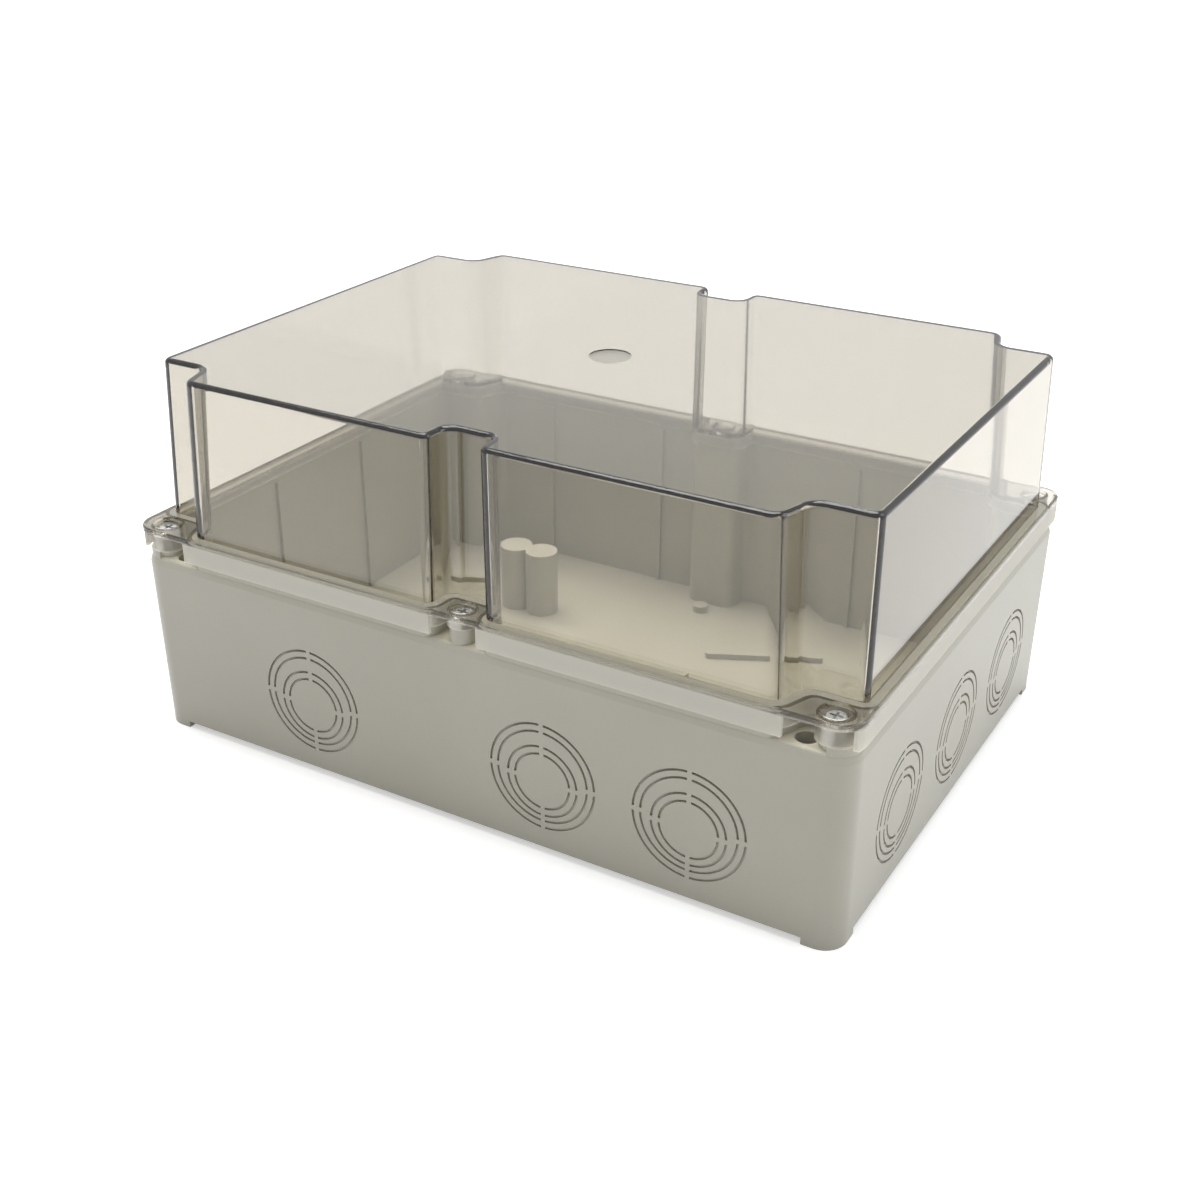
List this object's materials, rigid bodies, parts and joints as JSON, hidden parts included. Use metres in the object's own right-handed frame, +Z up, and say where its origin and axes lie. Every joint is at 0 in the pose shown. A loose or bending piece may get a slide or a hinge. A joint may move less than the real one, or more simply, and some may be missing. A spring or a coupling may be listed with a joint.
{
  "type": "plastic junction box",
  "caption": "Rectangular plastic enclosure: grey base with round knockouts in its walls, tall clear lid notched over its screws, gasket between.",
  "frame": {"origin": "under the middle of the box, on the plane that its four corner feet stand on", "axes": "+X along the long side to the right, +Y to the back, +Z up out of the lid"},
  "size_m": [0.38, 0.2756, 0.1906],
  "materials": {
    "base_plastic": "light grey moulded plastic, satin",
    "clear_plastic": "clear smoke-tinted polycarbonate, polished",
    "gasket_rubber": "pale foamed sealing rubber",
    "zinc_steel": "bright zinc plated",
    "washer_plastic": "natural nylon"
  },
  "bodies": {
    "base": {"base": "base_plastic"},
    "lid": {"lid": "clear_plastic", "gasket": "gasket_rubber"},
    "washer_front_right": {"washer_front_right": "washer_plastic"},
    "screw_front_right": {"screw_front_right": "zinc_steel"},
    "washer_back_right": {"washer_back_right": "washer_plastic"},
    "screw_back_right": {"screw_back_right": "zinc_steel"},
    "washer_back_left": {"washer_back_left": "washer_plastic"},
    "screw_back_left": {"screw_back_left": "zinc_steel"},
    "washer_front_left": {"washer_front_left": "washer_plastic"},
    "screw_front_left": {"screw_front_left": "zinc_steel"},
    "washer_front_middle": {"washer_front_middle": "washer_plastic"},
    "screw_front_middle": {"screw_front_middle": "zinc_steel"},
    "washer_back_middle": {"washer_back_middle": "washer_plastic"},
    "screw_back_middle": {"screw_back_middle": "zinc_steel"}
  },
  "joints": [
    {"name": "lid_lift", "type": "slide", "parent": "base", "child": "lid", "axis": [0, 0, 1], "range_m": [0, 0.12]},
    {"name": "screw_rise_front_right", "type": "slide", "parent": "lid", "child": "washer_front_right", "axis": [0, 0, 1], "range_m": [0, 0.01]},
    {"name": "screw_turn_front_right", "type": "hinge", "parent": "washer_front_right", "child": "screw_front_right", "pos_m": [0.1767, -0.1275, 0.1058], "axis": [0, 0, 1], "range_deg": [0, 1800]},
    {"name": "screw_rise_back_right", "type": "slide", "parent": "lid", "child": "washer_back_right", "axis": [0, 0, 1], "range_m": [0, 0.01]},
    {"name": "screw_turn_back_right", "type": "hinge", "parent": "washer_back_right", "child": "screw_back_right", "pos_m": [0.1767, 0.1275, 0.1058], "axis": [0, 0, 1], "range_deg": [0, 1800]},
    {"name": "screw_rise_back_left", "type": "slide", "parent": "lid", "child": "washer_back_left", "axis": [0, 0, 1], "range_m": [0, 0.01]},
    {"name": "screw_turn_back_left", "type": "hinge", "parent": "washer_back_left", "child": "screw_back_left", "pos_m": [-0.1767, 0.1275, 0.1058], "axis": [0, 0, 1], "range_deg": [0, 1800]},
    {"name": "screw_rise_front_left", "type": "slide", "parent": "lid", "child": "washer_front_left", "axis": [0, 0, 1], "range_m": [0, 0.01]},
    {"name": "screw_turn_front_left", "type": "hinge", "parent": "washer_front_left", "child": "screw_front_left", "pos_m": [-0.1767, -0.1275, 0.1058], "axis": [0, 0, 1], "range_deg": [0, 1800]},
    {"name": "screw_rise_front_middle", "type": "slide", "parent": "lid", "child": "washer_front_middle", "axis": [0, 0, 1], "range_m": [0, 0.01]},
    {"name": "screw_turn_front_middle", "type": "hinge", "parent": "washer_front_middle", "child": "screw_front_middle", "pos_m": [0, -0.1288, 0.1058], "axis": [0, 0, 1], "range_deg": [0, 1800]},
    {"name": "screw_rise_back_middle", "type": "slide", "parent": "lid", "child": "washer_back_middle", "axis": [0, 0, 1], "range_m": [0, 0.01]},
    {"name": "screw_turn_back_middle", "type": "hinge", "parent": "washer_back_middle", "child": "screw_back_middle", "pos_m": [0, 0.1288, 0.1058], "axis": [0, 0, 1], "range_deg": [0, 1800]}
  ],
  "couplings": [
    {"joint": "screw_turn_front_right", "follows": "screw_rise_front_right", "rad_per_m": 3141.6},
    {"joint": "screw_turn_back_right", "follows": "screw_rise_back_right", "rad_per_m": 3141.6},
    {"joint": "screw_turn_back_left", "follows": "screw_rise_back_left", "rad_per_m": 3141.6},
    {"joint": "screw_turn_front_left", "follows": "screw_rise_front_left", "rad_per_m": 3141.6},
    {"joint": "screw_turn_front_middle", "follows": "screw_rise_front_middle", "rad_per_m": 3141.6},
    {"joint": "screw_turn_back_middle", "follows": "screw_rise_back_middle", "rad_per_m": 3141.6}
  ]
}
